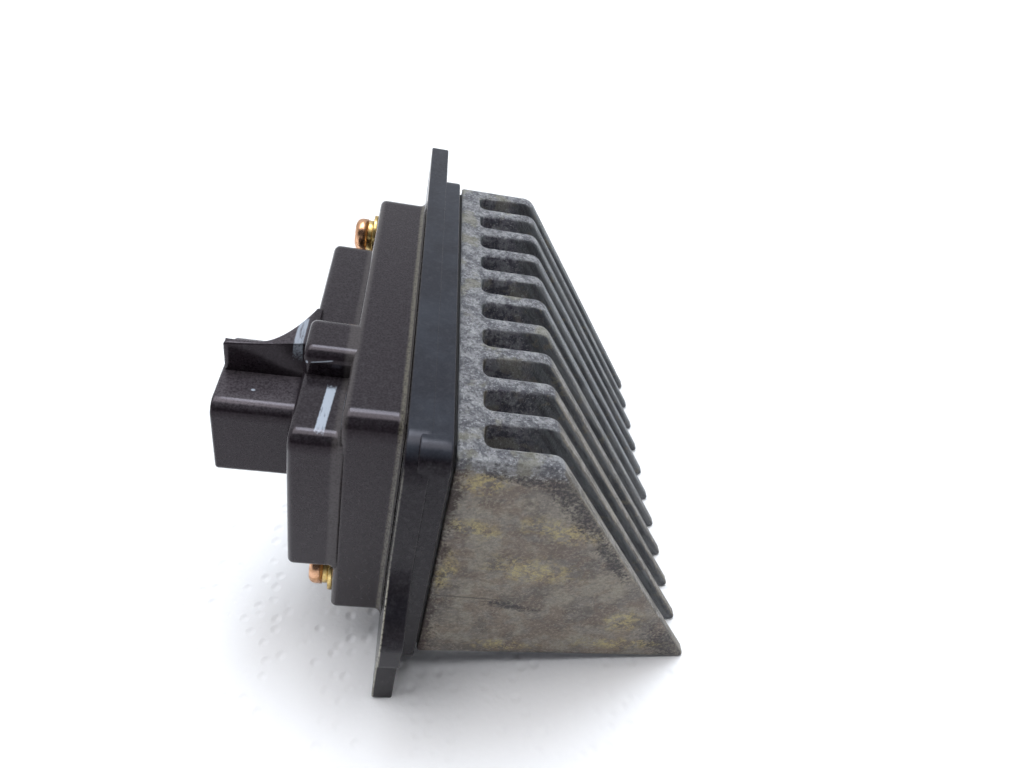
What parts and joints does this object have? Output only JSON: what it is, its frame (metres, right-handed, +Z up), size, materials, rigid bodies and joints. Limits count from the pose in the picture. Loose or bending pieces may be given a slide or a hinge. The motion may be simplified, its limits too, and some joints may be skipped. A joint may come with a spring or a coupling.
{
  "type": "blower motor resistor",
  "caption": "Heater blower motor resistor: finned die-cast heatsink with slanted fins on a mounting flange plate, and a stepped moulded housing with a side connector socket.",
  "frame": {"origin": "on the seat face of the flange plate at the top ear, 4.6 mm below the centre of the ear's screw hole", "axes": "+X out of the seat face along the screws, towards the fin tips; +Y along the row of fins, towards the top ear; +Z up the flange plate, away from its tongue"},
  "size_m": [0.0926, 0.1077, 0.0658],
  "materials": {
    "cast_aluminium": "rough die casting, dull, with brown and yellow corrosion",
    "flange_plastic": "dark grey moulded plastic, satin",
    "black_plastic": "black moulded plastic, satin, shiny on its round edges",
    "rubber": "plain black rubber",
    "brass": "dull brass with copper tint",
    "plated_steel": "yellow plated steel",
    "tinned_copper": "tinned copper alloy",
    "board_green": "green laminate",
    "device_epoxy": "black epoxy",
    "silicone": "grey silicone sheet",
    "can_aluminium": "drawn can"
  },
  "bodies": {
    "root": {"heatsink": "cast_aluminium", "flange_plate": "flange_plastic", "housing_cover": "black_plastic", "heatsink_gasket": "rubber", "cover_screw_top": "brass", "cover_screw_low": "brass", "spring_washer_top": "plated_steel", "spring_washer_low": "plated_steel", "flat_washer_top": "plated_steel", "flat_washer_low": "plated_steel", "connector_blade_1": "tinned_copper", "connector_blade_2": "tinned_copper", "connector_blade_3": "tinned_copper", "connector_blade_4": "tinned_copper", "circuit_board": "board_green", "power_device_near": "device_epoxy", "power_device_far": "device_epoxy", "insulating_pad_near": "silicone", "insulating_pad_far": "silicone", "device_screw_near": "plated_steel", "device_screw_far": "plated_steel", "capacitor": "can_aluminium", "thermal_fuse": "can_aluminium"}
  },
  "joints": []
}
